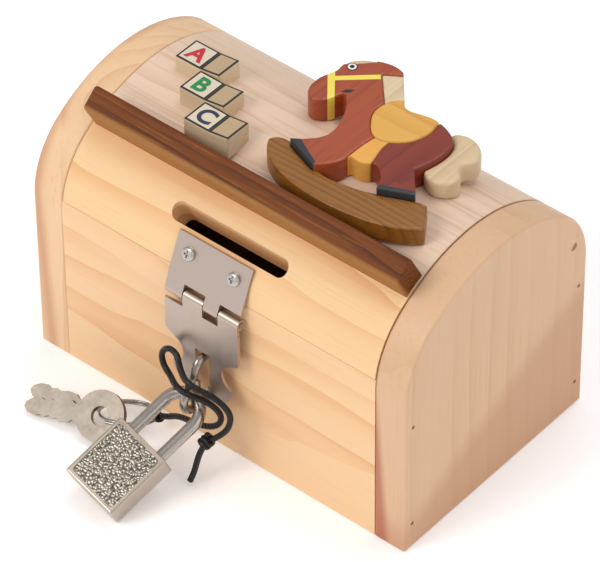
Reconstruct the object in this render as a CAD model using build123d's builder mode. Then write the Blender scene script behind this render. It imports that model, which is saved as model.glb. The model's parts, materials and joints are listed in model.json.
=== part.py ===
from build123d import *

import os
from math import atan2, cos, degrees, pi, radians, sin, sqrt, tan

# Wooden money box in the shape of a treasure chest, with a hasp, a padlock and its keys.
# Millimetres.  X runs along the box, Y from front to back and Z up.  The origin is on the table,
# at the middle of the box's base.

# ---------------------------------------------------------------- driving dimensions
LENGTH = 150.0  # over both end panels
DEPTH = 88.0  # front to back
HEIGHT = 96.0  # table to the crown of the lid
TOP_R = 54.0  # radius over the crown
SHOULDER_R = 30.0  # radius at the front and back shoulders
END_T = 12.0  # end panel thickness
BOARD_T = 7.0  # front and back board thickness
BOTTOM_T = 6.0
EASE = 0.8  # sanded arris of the end panels

SEAM_Z = 65.6  # underside of the lid at the front
SEAM_GAP = 0.2
LID_SIDE_GAP = 0.35  # lid to end panel, each side
LID_LIP = 12.0  # lid thickness at the seam
CEILING_Z = 83.0  # flat inside of the lid
CEILING_HALF = 16.0
PIVOT_Y, PIVOT_Z = 37.2, 69.5  # the lid ends at this height at the back
NOSE_R = 5.4  # rounded back edge of the lid, centred on the pins
PIN_R = 1.5
PIN_BORE_R = 1.56
PIN_OUT = 0.8  # pin head below the end panel's face
PIN_IN = 50.0  # inner end of each pin, from the middle of the box
BACK_TOP_Z = 63.4

BRAD_R = 0.7
BRAD_LENGTH = 22.0  # depth of a brad's hole
BRAD_SHORT = 0.6  # how far each end of a brad stops short of its hole's ends
BRAD_Y = DEPTH / 2 - BOARD_T / 2
BRAD_HEIGHTS = (10.0, 51.0)

SLOT_LENGTH = 45.6
SLOT_WIDTH = 5.8
SLOT_Y = -36.7
SLOT_LEAN = 25.0  # degrees between the slot's walls and upright
SLOT_REACH = 30.0  # more than the lid's thickness

STRIP_ANGLE = 27.5  # place of the strip on the crown, from the top
STRIP_W = 8.2
STRIP_FRONT_H = 10.5
STRIP_BACK_H = 12.4
STRIP_FOOT = 2.0  # the strip's section starts this far inside the crown, before the crown is cut out

DECOR_BASE_Z = 94.6
BLOCK_TOP_Z = 101.7
BLOCK_PITCH = 10.3
BLOCK_FACE = 10.2
BLOCK_SIDE = 6.9
HORSE_TOP_Z = 104.0
TAIL_TOP_Z = 102.2
ROCKER_TOP_Z = 101.5

HASP_X = -2.2
HASP_W = 29.5
SHEET = 1.0
LEAF_ANGLE = 23.0  # lean of the upper leaf, back from upright
LEAF_ABOVE = 5.0  # leaf edge above its line of contact
LEAF_BELOW = 14.5  # knuckle axis below its line of contact
BARREL_R = 1.9
HINGE_PIN_R = 0.95
HINGE_BORE_R = 1.02
WINDOW = 3.7  # cut-outs round the other leaf's knuckles
KNUCKLE_ENDS = (-HASP_W / 2, -7.6, 0.6, 6.6, HASP_W / 2)
KNUCKLE_GAP = 0.15
SCREW_X = 9.0
SCREW_DOWN = 0.9
SCREW_R = 1.0
SCREW_HEAD_R = 2.3
SCREW_BITE = 5.5  # length of each screw's hole in the lid

STAPLE_R = 1.4
STAPLE_TOP_Z = 38.6
STAPLE_LOW_Z = 20.8
STAPLE_KNEE_Y = -50.0
STAPLE_CORNER_Y = -60.8
STAPLE_INNER_Y = -38.5
STAPLE_BEND_R = 4.4

CASE_W, CASE_H, CASE_T = 21.3, 23.6, 9.2
SHACKLE_R = 2.0
SHACKLE_HALF = 6.5
SHACKLE_RISE = 14.0
LONG_LEG, SHORT_LEG = 14.0, 9.5
CASE_BORE_R = 2.08
LATCH_TRAVEL = 2.0
RELEASE = 3.0

CORD_R = 1.0
KEY_T = 1.0
BOW_R = 8.4
RING_R, RING_WIRE_R = 9.4, 0.5

# ---------------------------------------------------------------- derived places
HALF = DEPTH / 2
SHOULDER_Y = HALF - SHOULDER_R
CROWN_Z = HEIGHT - TOP_R
SPRING_Z = CROWN_Z + sqrt((TOP_R - SHOULDER_R) ** 2 - SHOULDER_Y**2)
SHOULDER_TURN = degrees(atan2(SPRING_Z - CROWN_Z, SHOULDER_Y))
INNER_X = LENGTH / 2 - END_T
LID_HALF = INNER_X - LID_SIDE_GAP
FAR = 150.0


def on_crown(angle, out=0.0):
    """Y and Z of a point on the crown, at an angle from the top towards the front."""
    reach = TOP_R + out
    return -reach * sin(radians(angle)), CROWN_Z + reach * cos(radians(angle))


def save(builder, name):
    """Label a finished piece and write its STEP file."""
    builder.part.label = name
    export_step(builder.part, f"parts/{name}.step")


os.makedirs("parts", exist_ok=True)

# ---------------------------------------------------------------- the D outline
with BuildSketch() as arch:
    with BuildLine():
        Polyline((-HALF, SPRING_Z), (-HALF, 0), (HALF, 0), (HALF, SPRING_Z))
        CenterArc((SHOULDER_Y, SPRING_Z), SHOULDER_R, 0, SHOULDER_TURN)
        CenterArc((0, CROWN_Z), TOP_R, SHOULDER_TURN, 180 - 2 * SHOULDER_TURN)
        CenterArc((-SHOULDER_Y, SPRING_Z), SHOULDER_R, 180 - SHOULDER_TURN, SHOULDER_TURN)
    make_face()

# ---------------------------------------------------------------- carcass
for side, name in ((-1, "end_panel_left"), (1, "end_panel_right")):
    with BuildPart() as panel:
        with BuildSketch(Plane.YZ.offset(side * (INNER_X + END_T / 2))):
            add(arch.sketch)
        extrude(amount=END_T / 2, both=True)
        faces = panel.faces().filter_by(Axis.X)
        fillet(faces.edges(), EASE)
        with Locations((side * (INNER_X + END_T / 2), PIVOT_Y, PIVOT_Z)):
            Cylinder(PIN_R, 2 * END_T, rotation=(0, 90, 0), mode=Mode.SUBTRACT)
        brads = [(side * (INNER_X + END_T / 2), y, z) for y in (-BRAD_Y, BRAD_Y) for z in BRAD_HEIGHTS]
        with Locations(*brads):
            Cylinder(BRAD_R, 2 * END_T, rotation=(0, 90, 0), mode=Mode.SUBTRACT)
    save(panel, name)

BRAD_BITE = BRAD_LENGTH - END_T  # length of each brad in the board's end
brad_ends = [(x, z) for x in (-INNER_X, INNER_X) for z in BRAD_HEIGHTS]

for side, top, name in ((-1, SEAM_Z - SEAM_GAP, "front_board"), (1, BACK_TOP_Z, "back_board")):
    with BuildPart() as board:
        with BuildSketch(Plane.YZ):
            with Locations((side * (HALF - BOARD_T / 2), top / 2)):
                Rectangle(BOARD_T, top)
            add(arch.sketch, mode=Mode.INTERSECT)
        extrude(amount=INNER_X, both=True)
        with Locations(*[(x, side * BRAD_Y, z) for x, z in brad_ends]):
            Cylinder(BRAD_R, 2 * BRAD_BITE, rotation=(0, 90, 0), mode=Mode.SUBTRACT)
        if side < 0:
            with Locations(*[(HASP_X, -HALF, z) for z in (STAPLE_TOP_Z, STAPLE_LOW_Z)]):
                Cylinder(STAPLE_R, 2 * (HALF + STAPLE_INNER_Y), rotation=(90, 0, 0), mode=Mode.SUBTRACT)
    save(board, name)

with BuildPart() as bottom_panel:
    with Locations((0, 0, BOTTOM_T / 2)):
        Box(2 * INNER_X, DEPTH - 2 * BOARD_T, BOTTOM_T)
save(bottom_panel, "bottom_panel")

with BuildPart() as panel_brads:
    for side in (-1, 1):
        middle = side * (LENGTH / 2 - BRAD_SHORT - BRAD_LENGTH / 2)
        with Locations(*[(middle, y, z) for y in (-BRAD_Y, BRAD_Y) for z in BRAD_HEIGHTS]):
            Cylinder(BRAD_R, BRAD_LENGTH - 2 * BRAD_SHORT, rotation=(0, 90, 0))
save(panel_brads, "panel_brads")

with BuildPart() as lid_pivot_pins:
    PIN_LENGTH = LENGTH / 2 - PIN_OUT - PIN_IN
    with Locations(*[(side * (PIN_IN + PIN_LENGTH / 2), PIVOT_Y, PIVOT_Z) for side in (-1, 1)]):
        Cylinder(PIN_R, PIN_LENGTH, rotation=(0, 90, 0))
save(lid_pivot_pins, "lid_pivot_pins")

# ---------------------------------------------------------------- lid staves
with BuildSketch() as lid_section:
    add(arch.sketch)
    with BuildLine():
        Polyline(
            (-FAR, SEAM_Z), (-FAR, FAR), (FAR, FAR), (FAR, PIVOT_Z), (0, PIVOT_Z), (0, SEAM_Z), close=True
        )
    make_face(mode=Mode.INTERSECT)
    with BuildLine():
        Polyline(
            (-HALF + LID_LIP, 0),
            (-HALF + LID_LIP, PIVOT_Z),
            (-CEILING_HALF, CEILING_Z),
            (CEILING_HALF, CEILING_Z),
            (PIVOT_Y - NOSE_R, PIVOT_Z),
            (PIVOT_Y - NOSE_R, 0),
            close=True,
        )
    make_face(mode=Mode.SUBTRACT)
    with Locations((PIVOT_Y, PIVOT_Z)):
        Circle(NOSE_R)


def wedge(front_angle, back_angle):
    """Pie slice of the lid section between two glue joints, as angles from the top."""
    first, last = on_crown(front_angle, FAR), on_crown(back_angle, FAR)
    middle = on_crown((front_angle + back_angle) / 2, FAR)
    with BuildSketch() as slice_sketch:
        with BuildLine():
            Polyline((0, CROWN_Z), first, middle, last, close=True)
        make_face()
    return slice_sketch.sketch


SLOT_Z = SPRING_Z + sqrt(SHOULDER_R**2 - (SLOT_Y + SHOULDER_Y) ** 2)
slot_plane = Plane(
    origin=(0, SLOT_Y, SLOT_Z),
    x_dir=(1, 0, 0),
    z_dir=(0, -sin(radians(SLOT_LEAN)), cos(radians(SLOT_LEAN))),
)
contact_y = -SHOULDER_Y - SHOULDER_R * cos(radians(LEAF_ANGLE))
contact_z = SPRING_Z + SHOULDER_R * sin(radians(LEAF_ANGLE))
leaf_plane = Plane(
    origin=(HASP_X, contact_y, contact_z),
    x_dir=(1, 0, 0),
    z_dir=(0, -cos(radians(LEAF_ANGLE)), sin(radians(LEAF_ANGLE))),
)

FRONT_JOINT, BACK_JOINT = STRIP_ANGLE, -13.9
staves = (
    ("lid_front_stave", 80.0, FRONT_JOINT),
    ("lid_top_stave", FRONT_JOINT, BACK_JOINT),
    ("lid_rear_stave", BACK_JOINT, -80.0),
)
for name, front_angle, back_angle in staves:
    with BuildPart() as stave:
        with BuildSketch(Plane.YZ):
            add(lid_section.sketch)
            add(wedge(front_angle, back_angle), mode=Mode.INTERSECT)
        extrude(amount=LID_HALF, both=True)
        if name == "lid_front_stave":
            with BuildSketch(slot_plane):
                SlotOverall(SLOT_LENGTH, SLOT_WIDTH)
            extrude(amount=SLOT_REACH, both=True, mode=Mode.SUBTRACT)
            with Locations(leaf_plane):
                with Locations((-SCREW_X, -SCREW_DOWN), (SCREW_X, -SCREW_DOWN)):
                    Cylinder(SCREW_R, 2 * SCREW_BITE, mode=Mode.SUBTRACT)
        if name == "lid_rear_stave":
            with Locations((-LID_HALF, PIVOT_Y, PIVOT_Z), (LID_HALF, PIVOT_Y, PIVOT_Z)):
                Cylinder(PIN_BORE_R, 2 * (LID_HALF - PIN_IN + 1), rotation=(0, 90, 0), mode=Mode.SUBTRACT)
    save(stave, name)

# ---------------------------------------------------------------- strip across the crown
strip_y, strip_z = on_crown(STRIP_ANGLE)
strip_section_plane = Plane(
    origin=(0, strip_y, strip_z),
    x_dir=(0, cos(radians(STRIP_ANGLE)), sin(radians(STRIP_ANGLE))),
    z_dir=(1, 0, 0),
)


def strip_section(grow):
    """Section of the strip, grown all round; its foot runs down into the lid's outline."""
    half = STRIP_W / 2 + grow
    with BuildSketch() as section:
        with BuildLine():
            Polyline(
                (-half, -STRIP_FOOT),
                (half, -STRIP_FOOT),
                (half, STRIP_BACK_H + grow),
                (-half, STRIP_FRONT_H + grow),
                close=True,
            )
        make_face()
    return section.sketch


with BuildPart() as crown_strip:
    with BuildSketch(strip_section_plane):
        add(strip_section(0))
    extrude(amount=LID_HALF - 0.4, both=True)
    long_edges = crown_strip.edges().filter_by(Axis.X).sort_by(Axis.Z)[-2:]
    fillet(long_edges, 1.1)
    left_top = crown_strip.faces().sort_by(Axis.X)[0].edges()
    fillet(left_top, 0.9)
    with BuildSketch(Plane.YZ):
        add(arch.sketch)
    extrude(amount=LENGTH, both=True, mode=Mode.SUBTRACT)
save(crown_strip, "crown_strip")

# ---------------------------------------------------------------- lettered blocks
block_outline = (
    (-BLOCK_FACE / 2, -BLOCK_FACE / 2),
    (BLOCK_FACE / 2, -BLOCK_FACE / 2),
    (BLOCK_FACE / 2 + BLOCK_SIDE, -BLOCK_FACE / 2 + 1.1),
    (BLOCK_FACE / 2 + BLOCK_SIDE, BLOCK_FACE / 2 + 0.9),
    (BLOCK_FACE / 2, BLOCK_FACE / 2),
    (-BLOCK_FACE / 2, BLOCK_FACE / 2),
)
BLOCK_X, BLOCK_Y = -48.0, 4.6  # middle of the first block's square face
for step, name in enumerate(("block_a", "block_b", "block_c")):
    with BuildPart() as block:
        with BuildSketch(Plane.XY.offset(DECOR_BASE_Z - 0.8)):
            with Locations((BLOCK_X + step * (BLOCK_PITCH + 0.4), BLOCK_Y - step * BLOCK_PITCH)):
                Polygon(*block_outline, align=None)
            fillet(vertices(), 0.5)
        extrude(amount=BLOCK_TOP_Z - DECOR_BASE_Z + 0.8)
        fillet(block.edges().group_by(Axis.Z)[-1], 0.45)
        with BuildSketch(Plane.YZ):
            add(arch.sketch)
        extrude(amount=LENGTH, both=True, mode=Mode.SUBTRACT)
    save(block, name)

# ---------------------------------------------------------------- rocking horse
with BuildSketch() as horse_outline:
    with BuildLine():
        Spline(
            (0.4, 17.6), (-0.9, 14.0), (-2.6, 10.6), (-5.4, 8.8), (-8.4, 10.2), (-10.3, 14.2), (-10.0, 19.6),
            (-8.5, 24.2), (-8.8, 28.4), (-6.4, 32.8), (-1.6, 35.6), (3.2, 37.0), (8.2, 36.4),
        )
        Line((8.2, 36.4), (17.6, 25.4))
        Spline(
            (17.6, 25.4), (20.4, 23.6), (25.0, 24.5), (30.2, 25.2), (36.2, 23.7), (40.2, 20.8),
            (41.6, 15.4), (41.0, 9.4), (39.2, 3.6),
        )
        Polyline((39.2, 3.6), (46.8, -5.4), (35.4, -10.4))
        Spline((35.4, -10.4), (33.0, -5.2), (28.1, -2.0))
        Spline((28.1, -2.0), (24.2, -4.4), (20.5, -3.6))
        Spline((20.5, -3.6), (19.0, -8.6), (14.0, -14.2))
        Line((14.0, -14.2), (0.6, -9.2))
        Spline((0.6, -9.2), (5.8, -5.4), (8.6, -0.8), (8.2, 5.0), (5.6, 11.2), (0.4, 17.6))
    make_face()

with BuildSketch() as saddle_outline:
    with BuildLine():
        Spline(
            (17.6, 27.0), (13.4, 22.0), (13.0, 15.8), (15.6, 11.2), (20.2, 7.4), (25.6, 8.4), (30.0, 12.2),
            (32.4, 18.4), (31.8, 24.0), (30.6, 27.0),
        )
        Line((30.6, 27.0), (17.6, 27.0))
    make_face()

with BuildSketch() as girth_outline:
    with BuildLine():
        Spline((21.2, 11.0), (20.4, 5.6), (19.9, 1.0), (20.4, -7.0))
        Line((20.4, -7.0), (27.4, -6.0))
        Spline((27.4, -6.0), (27.0, -1.0), (25.6, 4.6), (26.6, 11.0))
        Line((26.6, 11.0), (21.2, 11.0))
    make_face()

with BuildSketch() as mane_outline:
    with BuildLine():
        Polyline((3.6, 31.4), (12.0, 36.9), (22.0, 27.0), (13.2, 21.0), close=True)
    make_face()

with BuildSketch() as forelock_outline:
    with BuildLine():
        Spline((-9.6, 27.6), (-6.6, 29.6), (-4.0, 32.2), (-1.4, 35.2))
        Polyline((-1.4, 35.2), (-1.0, 41.0), (-12.0, 38.0), (-9.6, 27.6))
    make_face()


with BuildSketch() as saddle_face:
    add(horse_outline.sketch)
    add(saddle_outline.sketch, mode=Mode.INTERSECT)

with BuildSketch() as girth_face:
    add(horse_outline.sketch)
    add(girth_outline.sketch, mode=Mode.INTERSECT)
    add(saddle_outline.sketch, mode=Mode.SUBTRACT)

with BuildSketch() as mane_face:
    add(horse_outline.sketch)
    add(mane_outline.sketch, mode=Mode.INTERSECT)
    add(saddle_outline.sketch, mode=Mode.SUBTRACT)

with BuildSketch() as forelock_face:
    add(horse_outline.sketch)
    add(forelock_outline.sketch, mode=Mode.INTERSECT)

with BuildSketch() as body_faces:
    add(horse_outline.sketch)
    for inlay in (saddle_outline, girth_outline, mane_outline, forelock_outline):
        add(inlay.sketch, mode=Mode.SUBTRACT)

with BuildSketch() as tail_face:
    with BuildLine():
        Spline(
            (38.0, 22.0), (36.6, 25.0), (39.8, 27.3), (44.6, 27.0), (48.8, 23.8), (49.8, 19.2), (47.6, 15.4),
            (50.8, 11.0), (49.6, 6.2), (45.8, 4.2), (42.0, 5.2), (38.6, 8.4),
        )
        Line((38.6, 8.4), (38.0, 22.0))
    make_face()
    add(horse_outline.sketch, mode=Mode.SUBTRACT)

with BuildSketch() as rocker_face:
    with BuildLine():
        Spline(
            (-5.8, -11.4), (-4.2, -9.0), (-0.6, -8.0), (5.0, -10.3), (13.0, -13.0), (20.0, -13.6),
            (28.0, -12.4), (36.0, -9.8), (44.0, -6.0), (50.8, -4.6),
        )
        Line((50.8, -4.6), (56.6, -13.2))
        Spline(
            (56.6, -13.2), (48.3, -18.8), (36.0, -22.2), (25.4, -23.2), (12.0, -22.2), (4.0, -19.9),
            (-2.0, -16.4), (-5.8, -11.4),
        )
    make_face()
    add(horse_outline.sketch, mode=Mode.SUBTRACT)

body_parts = body_faces.sketch.faces().sort_by(Axis.X)
inlays = (
    ("horse_front", body_parts[0], HORSE_TOP_Z, 0),
    ("horse_hindquarters", body_parts[-1], HORSE_TOP_Z, 0),
    ("horse_saddle", saddle_face.sketch, HORSE_TOP_Z + 0.4, 0.9),
    ("horse_girth", girth_face.sketch, HORSE_TOP_Z + 0.1, 0),
    ("horse_mane", mane_face.sketch, HORSE_TOP_Z - 0.2, 0),
    ("horse_forelock", forelock_face.sketch, HORSE_TOP_Z - 0.4, 0),
    ("horse_tail", tail_face.sketch, TAIL_TOP_Z, 1.2),
    ("horse_rocker", rocker_face.sketch, ROCKER_TOP_Z, 0),
)
for name, outline, top, rounding in inlays:
    with BuildPart() as piece:
        with BuildSketch(Plane.XY.offset(DECOR_BASE_Z)):
            add(outline)
        extrude(amount=top - DECOR_BASE_Z)
        if rounding:
            fillet(piece.edges().group_by(Axis.Z)[-1], rounding)
        with BuildSketch(Plane.YZ):
            add(arch.sketch)
        extrude(amount=LENGTH, both=True, mode=Mode.SUBTRACT)
        with BuildSketch(strip_section_plane):
            add(strip_section(0.4))
        extrude(amount=LENGTH, both=True, mode=Mode.SUBTRACT)
    save(piece, name)

# ---------------------------------------------------------------- hasp
knuckle = leaf_plane.from_local_coords(Vector(0, -LEAF_BELOW, SHEET - BARREL_R))
KNUCKLE_Y, KNUCKLE_Z = knuckle.Y, knuckle.Z
flap_plane = Plane(origin=(HASP_X, KNUCKLE_Y, KNUCKLE_Z), x_dir=(1, 0, 0), z_dir=(0, -1, 0))
print("hinge axis of the flap", round(KNUCKLE_Y, 3), round(KNUCKLE_Z, 3))


def knuckle_spans(first):
    """Start and length of every other knuckle, from the first one given."""
    ends = list(zip(KNUCKLE_ENDS[:-1], KNUCKLE_ENDS[1:]))[first::2]
    return [(start + KNUCKLE_GAP, end - start - 2 * KNUCKLE_GAP) for start, end in ends]


with BuildPart() as hasp_leaf:
    with BuildSketch(leaf_plane):
        with Locations((0, (LEAF_ABOVE - LEAF_BELOW + WINDOW) / 2)):
            Rectangle(HASP_W, LEAF_ABOVE + LEAF_BELOW - WINDOW)
        for start, width in knuckle_spans(0):
            with Locations((start + width / 2, -LEAF_BELOW + WINDOW / 2)):
                Rectangle(width, WINDOW)
        with Locations((-SCREW_X, -SCREW_DOWN), (SCREW_X, -SCREW_DOWN)):
            Circle(SCREW_R + 0.1, mode=Mode.SUBTRACT)
    extrude(amount=SHEET)
    for start, width in knuckle_spans(0):
        with Locations((HASP_X + start + width / 2, KNUCKLE_Y, KNUCKLE_Z)):
            Cylinder(BARREL_R, width, rotation=(0, 90, 0))
    with Locations((HASP_X, KNUCKLE_Y, KNUCKLE_Z)):
        Cylinder(HINGE_PIN_R, HASP_W + 2, rotation=(0, 90, 0), mode=Mode.SUBTRACT)
save(hasp_leaf, "hasp_leaf")

with BuildPart() as hasp_pin:
    with Locations((HASP_X, KNUCKLE_Y, KNUCKLE_Z)):
        Cylinder(HINGE_PIN_R, HASP_W + 0.4, rotation=(0, 90, 0))
save(hasp_pin, "hasp_pin")

with BuildPart() as hasp_screws:
    with Locations(leaf_plane):
        with Locations((-SCREW_X, -SCREW_DOWN, SHEET), (SCREW_X, -SCREW_DOWN, SHEET)):
            Cylinder(SCREW_HEAD_R, 1.2, align=(Align.CENTER, Align.CENTER, Align.MIN))
    rims = hasp_screws.edges().filter_by(GeomType.CIRCLE)
    fillet(rims.group_by(Axis((0, 0, 0), leaf_plane.z_dir))[-1], 0.8)
    with Locations(leaf_plane):
        with Locations((-SCREW_X, -SCREW_DOWN, SHEET + 1.3), (SCREW_X, -SCREW_DOWN, SHEET + 1.3)):
            Box(2.4, 0.55, 1.6, mode=Mode.SUBTRACT)
            Box(0.55, 2.4, 1.6, mode=Mode.SUBTRACT)
        with Locations((-SCREW_X, -SCREW_DOWN, SHEET), (SCREW_X, -SCREW_DOWN, SHEET)):
            Cylinder(SCREW_R, SHEET + SCREW_BITE - 0.2, align=(Align.CENTER, Align.CENTER, Align.MAX))
save(hasp_screws, "hasp_screws")

# The flap's outline, up from the table: square shoulders, a waist, and a rounded foot with an open slot.
SHOULDER_LOW = 43.2
NECK_X, NECK_HIGH, WAIST_X, WAIST_Z = 9.4, 40.2, 7.7, 35.6
HIP_X, HIP_Z, FOOT_X, FOOT_Z = 12.2, 30.6, 3.6, 21.8
EYE_W, EYE_TOP, EYE_LOW, FORK_W = 5.6, 41.0, 27.0, 3.8
with BuildPart() as hasp_flap:
    with BuildSketch(flap_plane) as flap_sketch:
        with BuildLine():
            top = -WINDOW
            half = HASP_W / 2
            Polyline((0, top), (half, top), (half, SHOULDER_LOW - KNUCKLE_Z), (NECK_X, NECK_HIGH - KNUCKLE_Z))
            ThreePointArc(
                (NECK_X, NECK_HIGH - KNUCKLE_Z), (WAIST_X, WAIST_Z - KNUCKLE_Z), (HIP_X, HIP_Z - KNUCKLE_Z)
            )
            ThreePointArc(
                (HIP_X, HIP_Z - KNUCKLE_Z), (9.6, 25.2 - KNUCKLE_Z), (FOOT_X, FOOT_Z - KNUCKLE_Z)
            )
            Line((FOOT_X, FOOT_Z - KNUCKLE_Z), (0, FOOT_Z - KNUCKLE_Z))
            mirror(about=Plane.YZ)
        make_face()
        for start, width in knuckle_spans(1):
            with Locations((start + width / 2, -WINDOW / 2)):
                Rectangle(width, WINDOW)
        with Locations((0, (EYE_TOP + EYE_LOW) / 2 - KNUCKLE_Z)):
            Rectangle(EYE_W, EYE_TOP - EYE_LOW, mode=Mode.SUBTRACT)
        with Locations((0, (EYE_LOW + FOOT_Z) / 2 - KNUCKLE_Z)):
            Rectangle(FORK_W, EYE_LOW - FOOT_Z + 2, mode=Mode.SUBTRACT)
    extrude(flap_sketch.sketch, amount=BARREL_R)
    with BuildSketch(flap_plane):
        with Locations((0, -30)):
            Rectangle(2 * HASP_W, 60 + 2 * BARREL_R)
    extrude(amount=BARREL_R - SHEET, mode=Mode.SUBTRACT)
    for start, width in knuckle_spans(1):
        with Locations((HASP_X + start + width / 2, KNUCKLE_Y, KNUCKLE_Z)):
            Cylinder(BARREL_R, width, rotation=(0, 90, 0))
    with Locations((HASP_X, KNUCKLE_Y, KNUCKLE_Z)):
        Cylinder(HINGE_BORE_R, HASP_W + 2, rotation=(0, 90, 0), mode=Mode.SUBTRACT)
save(hasp_flap, "hasp_flap")

with BuildPart() as staple:
    with BuildLine(Plane(origin=(HASP_X, 0, 0), x_dir=(0, 1, 0), z_dir=(1, 0, 0))) as staple_path:
        FilletPolyline(
            (STAPLE_INNER_Y, STAPLE_TOP_Z),
            (STAPLE_KNEE_Y, STAPLE_TOP_Z),
            (STAPLE_CORNER_Y, STAPLE_LOW_Z),
            (STAPLE_INNER_Y, STAPLE_LOW_Z),
            radius=(3.0, STAPLE_BEND_R),
        )
    with BuildSketch(Plane(origin=(HASP_X, STAPLE_INNER_Y, STAPLE_TOP_Z), z_dir=(0, -1, 0))):
        Circle(STAPLE_R)
    sweep()
save(staple, "staple")

# ---------------------------------------------------------------- padlock
# Its own plane: X across the legs, Y from the mouth towards the bow of the shackle, Z out of its face.
padlock = Plane(origin=(-6.1, -70.8, 16.2), x_dir=(0.970, -0.114, -0.216), z_dir=(0.141, -0.457, 0.878))
PANEL_W, PANEL_H, PANEL_DEEP = 18.5, 20.6, 0.7
PLATE_SUNK, PLATE_FIT = 0.25, 0.1
LATCH_Y = -5.1
LATCH_POCKET = (10.0, 2.7, 3.3)
LATCH_BOLT = (5.0, 2.4, 3.0)
NOTCH_HIGH, NOTCH_LOW = -3.7, -7.8  # the notch in the short leg that the latch holds
PLUG_R, PLUG_TOP = 3.4, -9.0
PLUG_CLEAR = 0.06
KEYWAY = (1.0, 9.0, 4.2)
CAM_R, CAM_H = 1.6, 2.0

with BuildPart() as shackle_flat:
    with BuildLine() as shackle_path:
        Line((-SHACKLE_HALF, -LONG_LEG), (-SHACKLE_HALF, SHACKLE_RISE))
        ThreePointArc(
            (-SHACKLE_HALF, SHACKLE_RISE), (0, SHACKLE_RISE + SHACKLE_HALF), (SHACKLE_HALF, SHACKLE_RISE)
        )
        Line((SHACKLE_HALF, SHACKLE_RISE), (SHACKLE_HALF, -SHORT_LEG))
    with BuildSketch(Plane(origin=(-SHACKLE_HALF, -LONG_LEG, 0), z_dir=(0, 1, 0))):
        Circle(SHACKLE_R)
    sweep()
    chamfer(shackle_flat.edges().group_by(Axis.Y)[0], 0.5)
    with Locations((SHACKLE_HALF - SHACKLE_R, (NOTCH_HIGH + NOTCH_LOW) / 2, 0)):
        Box(2.2, NOTCH_HIGH - NOTCH_LOW, 3 * SHACKLE_R, mode=Mode.SUBTRACT)

with BuildPart() as case_flat:
    with Locations((0, -CASE_H / 2, 0)):
        Box(CASE_W, CASE_H, CASE_T)
    fillet(case_flat.edges(), 0.6)
    for side in (-1, 1):
        with BuildSketch(Plane.XY.offset(side * CASE_T / 2)):
            with Locations((0, -CASE_H / 2)):
                RectangleRounded(PANEL_W, PANEL_H, 1.2)
        extrude(amount=-side * PANEL_DEEP, mode=Mode.SUBTRACT)
    with Locations((-SHACKLE_HALF, -LONG_LEG / 2 - 0.5, 0)):
        Cylinder(CASE_BORE_R, LONG_LEG + 1, rotation=(90, 0, 0), mode=Mode.SUBTRACT)
    with Locations((SHACKLE_HALF, -SHORT_LEG / 2 - 0.5, 0)):
        Cylinder(CASE_BORE_R, SHORT_LEG + 1, rotation=(90, 0, 0), mode=Mode.SUBTRACT)
    with Locations((0.3, LATCH_Y, 0)):
        Box(*LATCH_POCKET, mode=Mode.SUBTRACT)
    with Locations((0, (-CASE_H - 6.4) / 2, 0)):
        Cylinder(PLUG_R + PLUG_CLEAR, CASE_H - 6.4, rotation=(90, 0, 0), mode=Mode.SUBTRACT)

with BuildPart() as plates_flat:
    for side in (-1, 1):
        with BuildSketch(Plane.XY.offset(side * (CASE_T / 2 - PLATE_SUNK))):
            with Locations((0, -CASE_H / 2)):
                RectangleRounded(PANEL_W - PLATE_FIT, PANEL_H - PLATE_FIT, 1.15)
        extrude(amount=-side * (PANEL_DEEP - PLATE_SUNK))

with BuildPart() as plug_flat:
    with Locations((0, (-CASE_H + PLUG_TOP) / 2, 0)):
        Cylinder(PLUG_R, CASE_H + PLUG_TOP, rotation=(90, 0, 0))
    with Locations((0, PLUG_TOP + CAM_H / 2, 0)):
        Cylinder(CAM_R, CAM_H, rotation=(90, 0, 0))
    with Locations((0, -CASE_H, 0)):
        Box(*KEYWAY, mode=Mode.SUBTRACT)

with BuildPart() as latch_flat:
    with Locations((2.9, LATCH_Y, 0)):
        Box(*LATCH_BOLT)
    chamfer(latch_flat.edges().filter_by(Axis.Z).group_by(Axis.X)[-1].sort_by(Axis.Y)[-1], 0.5)

with BuildPart() as spring_flat:
    with BuildLine():
        Helix(0.8, 4.0, 0.9, center=(-4.25, LATCH_Y, 0), direction=(1, 0, 0))
    with BuildSketch(Plane(origin=(-4.25, LATCH_Y, 0.9), x_dir=(1, 0, 0), z_dir=(0, -1, 0))):
        Circle(0.18)
    sweep(is_frenet=True)

padlock_pieces = (
    (shackle_flat, "padlock_shackle"),
    (case_flat, "padlock_case"),
    (plates_flat, "padlock_face_plates"),
    (plug_flat, "lock_cylinder"),
    (latch_flat, "lock_latch"),
    (spring_flat, "latch_spring"),
)
for flat, name in padlock_pieces:
    with BuildPart() as placed:
        add(padlock.location * flat.part)
    save(placed, name)

# ---------------------------------------------------------------- keys on their ring
bow = Vector(-31.5, -64.1, 7.0)
key_plane = Plane(origin=bow, x_dir=(-0.967, -0.228, -0.129), z_dir=(0.0528, -0.6528, 0.758))
HOLE_R = 3.1
with BuildSketch() as key_outline:
    Circle(BOW_R)
    with BuildLine():
        Polyline(
            (6.5, 3.0), (9.4, 2.6), (10.6, 3.6), (13.4, 3.6), (14.6, 2.7), (16.2, 3.2), (17.6, 2.3),
            (19.2, 3.0), (20.8, 2.4), (22.4, 3.0), (25.4, 2.2), (26.8, 0.6), (26.4, -1.0), (24.0, -2.6),
            (21.6, -3.0), (20.0, -2.3), (18.4, -3.0), (16.8, -2.5), (14.9, -3.2), (13.4, -3.6),
            (10.6, -3.6), (9.4, -2.6), (6.5, -3.0), close=True,
        )
    make_face()
    Circle(HOLE_R, mode=Mode.SUBTRACT)

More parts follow.
